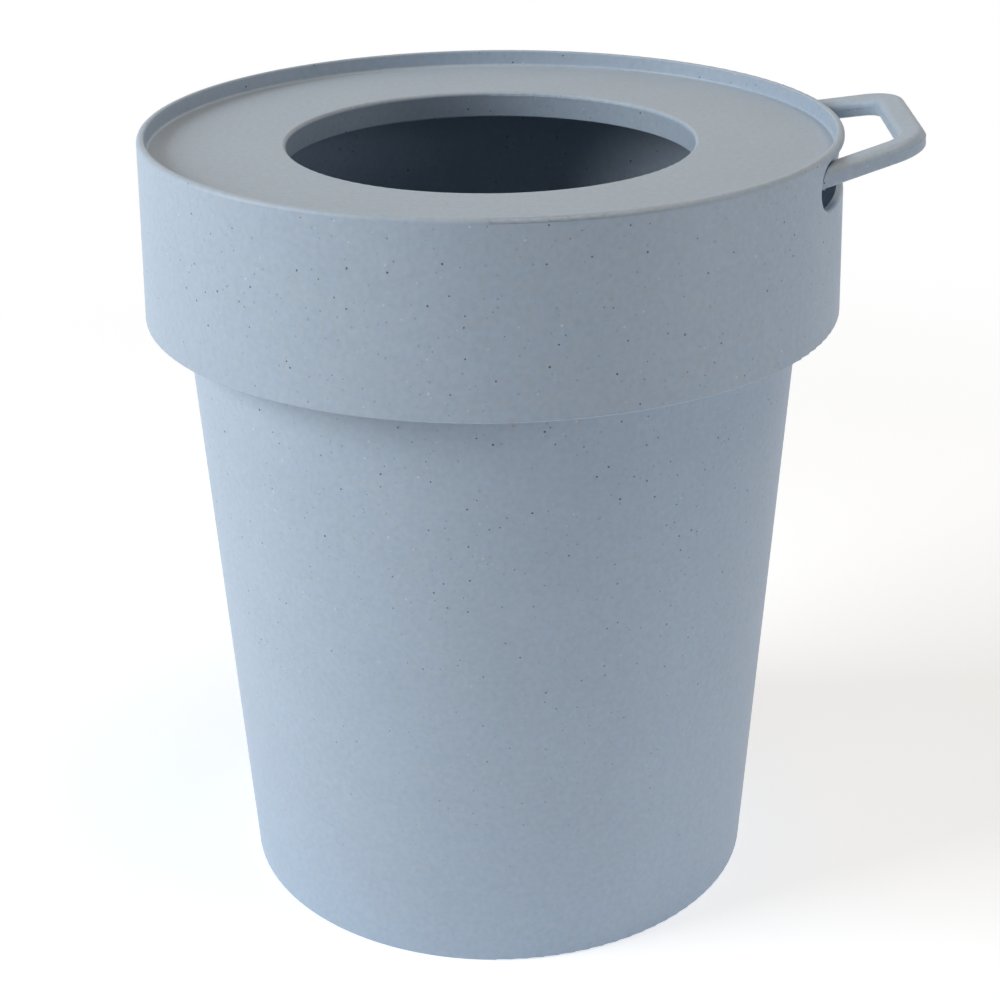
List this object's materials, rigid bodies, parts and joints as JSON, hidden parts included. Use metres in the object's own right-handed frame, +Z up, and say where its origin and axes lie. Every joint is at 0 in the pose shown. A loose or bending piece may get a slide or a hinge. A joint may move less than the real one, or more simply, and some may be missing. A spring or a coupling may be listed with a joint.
{
  "type": "trash can",
  "caption": "Small round waste bin: tapered bucket with a finger loop on its rim, under a deep cap lid with a recessed top, a round drop hole and a slot that the loop comes out through.",
  "frame": {"origin": "middle of the bucket's underside, on the floor it stands on", "axes": "+Z up, +X towards the finger loop, +Y to the left of the loop seen from outside"},
  "size_m": [0.2667, 0.2436, 0.2825],
  "materials": {
    "bucket_plastic": "satin speckled blue-grey",
    "loop_plastic": "satin speckled blue-grey",
    "lid_plastic": "satin speckled blue-grey"
  },
  "bodies": {
    "bin": {"bucket": "bucket_plastic", "loop_handle": "loop_plastic"},
    "lid": {"lid": "lid_plastic"}
  },
  "joints": [
    {"name": "lid_tip", "type": "hinge", "parent": "bin", "child": "lid", "pos_m": [0.136, 0, 0.271], "axis": [0, 1, 0], "range_deg": [0, 10]}
  ]
}
